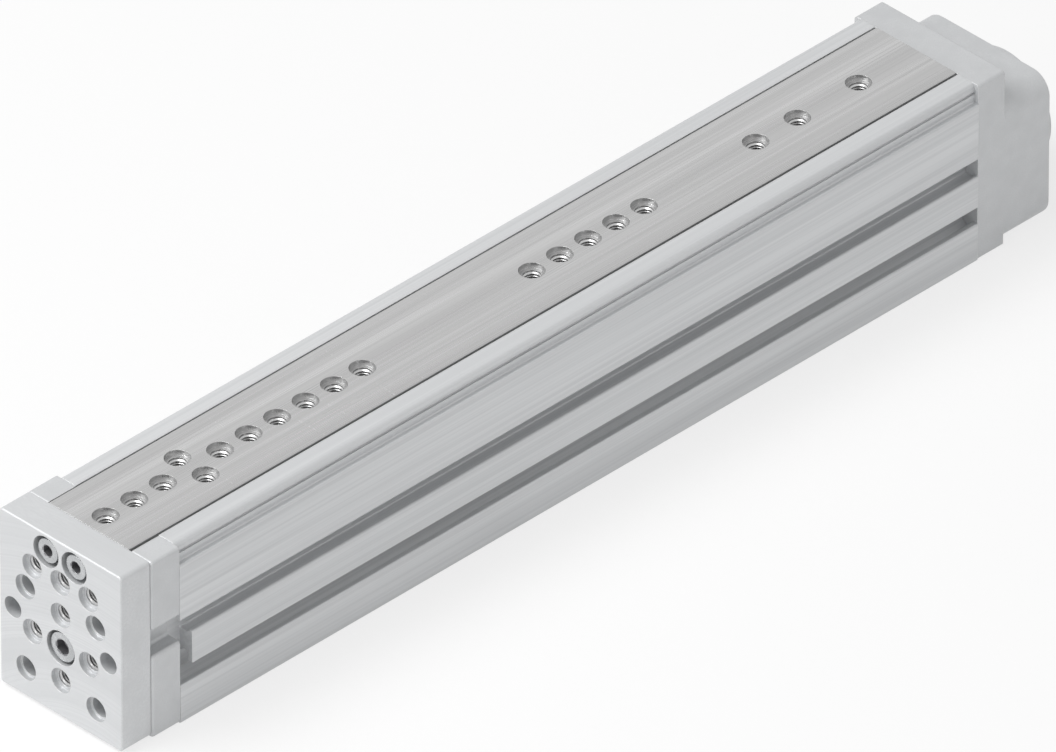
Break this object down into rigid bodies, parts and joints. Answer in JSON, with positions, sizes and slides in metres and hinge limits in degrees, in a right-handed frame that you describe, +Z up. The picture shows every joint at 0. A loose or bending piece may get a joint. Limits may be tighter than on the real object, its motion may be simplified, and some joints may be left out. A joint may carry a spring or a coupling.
{
  "type": "miniature linear slide",
  "caption": "Slim linear slide: an extruded housing with side slots, a flat slide in its top channel, a yoke plate on the front pushed by a rod and ball screw, and a drive shaft at the rear.",
  "frame": {"origin": "centre of the housing's underside, at the middle of the profile's length", "axes": "+X the way the slide moves out, towards the yoke plate; +Y the left side seen along +X; +Z up through the slide's top face"},
  "size_m": [0.347, 0.0446, 0.0546],
  "materials": {
    "anodised_profile": "extruded aluminium, clear anodised, satin",
    "anodised_cap": "milled aluminium, clear anodised, fine matt",
    "anodised_plate": "milled aluminium plate, clear anodised",
    "ground_steel": "hardened steel, ground lengthwise",
    "hardened_steel": "hardened steel, ground",
    "bearing_steel": "polished bearing steel",
    "hard_chrome": "hard chromed and polished rod",
    "zinc_screw": "zinc-plated steel",
    "black_steel": "black-oxide steel",
    "green_acetal": "dark green acetal",
    "dry_bearing": "dark bearing polymer",
    "seal_rubber": "polyurethane wiper",
    "buffer_rubber": "elastomer buffer",
    "magnet": "sintered magnet ring"
  },
  "bodies": {
    "housing": {"housing_profile": "anodised_profile", "guide_insert_left": "hardened_steel", "guide_insert_right": "hardened_steel", "guide_deflectors": "green_acetal", "guide_balls_left": "bearing_steel", "guide_balls_right": "bearing_steel", "front_cap": "anodised_cap", "front_cap_screws": "zinc_screw", "slide_wiper": "seal_rubber", "rod_bush": "dry_bearing", "rod_wiper": "seal_rubber", "front_buffer": "buffer_rubber", "rear_buffer": "buffer_rubber", "bearing_housing": "anodised_cap", "bearing_housing_screws": "zinc_screw", "bearing_clamp_ring": "black_steel", "bearing_outer_rings": "bearing_steel"},
    "slide": {"slide_table": "ground_steel", "yoke_plate": "anodised_plate", "table_screws": "zinc_screw", "push_rod": "hard_chrome", "rod_plug": "hardened_steel", "rod_screw": "zinc_screw", "nut_carrier": "anodised_cap", "nut_retainer": "black_steel", "spindle_nut": "hardened_steel", "nut_end_caps": "green_acetal", "carrier_guide_rings": "dry_bearing", "position_magnet": "magnet"},
    "spindle": {"spindle": "hardened_steel", "spindle_support_ring": "dry_bearing", "support_retaining_ring": "black_steel", "bearing_inner_rings": "bearing_steel", "bearing_lock_nut": "black_steel"},
    "bearing_cage": {"bearing_cages": "green_acetal", "bearing_balls": "bearing_steel"}
  },
  "joints": [
    {"name": "slide_extend", "type": "slide", "parent": "housing", "child": "slide", "axis": [1, 0, 0], "range_m": [0, 0.2]},
    {"name": "spindle_turn", "type": "hinge", "parent": "housing", "child": "spindle", "pos_m": [-0.158, 0, 0.022], "axis": [1, 0, 0], "range_deg": [-7200, 0]},
    {"name": "bearing_cage_turn", "type": "hinge", "parent": "housing", "child": "bearing_cage", "pos_m": [-0.158, 0, 0.022], "axis": [1, 0, 0], "range_deg": [-2690, 0]}
  ],
  "couplings": [
    {"joint": "spindle_turn", "follows": "slide_extend", "rad_per_m": -628.32},
    {"joint": "bearing_cage_turn", "follows": "slide_extend", "rad_per_m": -234.57}
  ]
}
